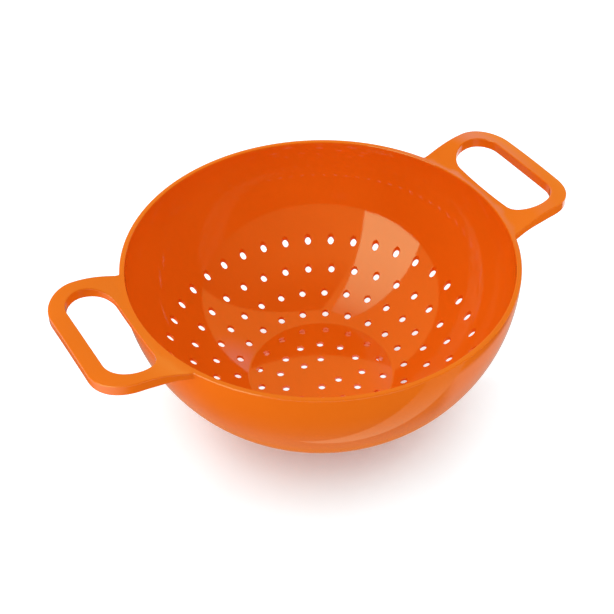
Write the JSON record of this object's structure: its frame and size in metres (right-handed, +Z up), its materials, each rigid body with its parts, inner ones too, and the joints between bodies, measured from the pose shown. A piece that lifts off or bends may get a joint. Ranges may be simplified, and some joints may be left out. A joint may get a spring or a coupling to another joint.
{
  "type": "colander",
  "caption": "Round kitchen colander of glossy orange plastic: a deep bowl with rings of drain holes, a perforated flat base on a foot ring, and a loop handle at each side.",
  "frame": {"origin": "centre of the foot ring's underside, on the surface the colander stands on", "axes": "+Z up along the bowl's axis, +X through the middle of the right handle, +Y across the handles"},
  "size_m": [0.323, 0.24, 0.1195],
  "materials": {
    "plastic": "high gloss, moulded in one colour"
  },
  "bodies": {
    "root": {"rim_wall": "plastic", "plain_wall": "plastic", "upper_strainer": "plastic", "lower_strainer": "plastic", "base_disc": "plastic", "foot_ring": "plastic", "right_handle": "plastic", "left_handle": "plastic"}
  },
  "joints": []
}
